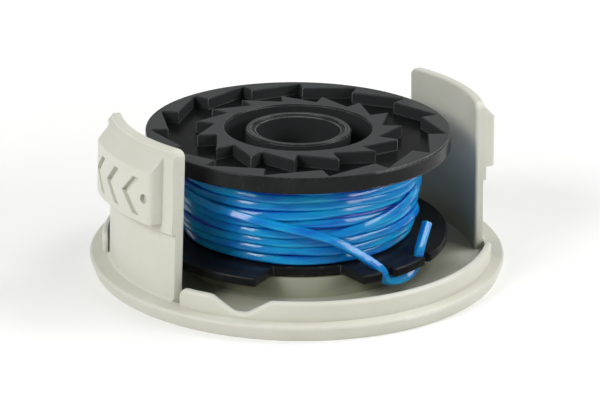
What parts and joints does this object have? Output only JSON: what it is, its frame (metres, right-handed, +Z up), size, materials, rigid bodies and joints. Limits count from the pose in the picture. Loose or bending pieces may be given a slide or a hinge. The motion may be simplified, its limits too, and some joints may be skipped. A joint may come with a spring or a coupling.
{
  "type": "trimmer line spool",
  "caption": "Dark spool with saw-toothed top flange, wound with blue trimmer line, standing in a pale round cap with upright latch arms; it feeds line in a grass trimmer head",
  "frame": {"origin": "middle of the cap's underside, on the spool's axis", "axes": "+Z up along the spool's axis, +X towards one latch arm, +Y towards the stretch of the cap's ring wall that the picture shows behind the spool"},
  "size_m": [0.0896, 0.0896, 0.0352],
  "materials": {
    "cap_plastic": "pale grey-ivory moulded plastic, satin",
    "spool_plastic": "charcoal glass-filled nylon, satin with a fine moulded grain",
    "nylon_line": "glossy blue nylon line, slightly see-through"
  },
  "bodies": {
    "root": {"spool_cap": "cap_plastic", "line_spool": "spool_plastic", "line_winding": "nylon_line", "line_tail": "nylon_line"}
  },
  "joints": []
}
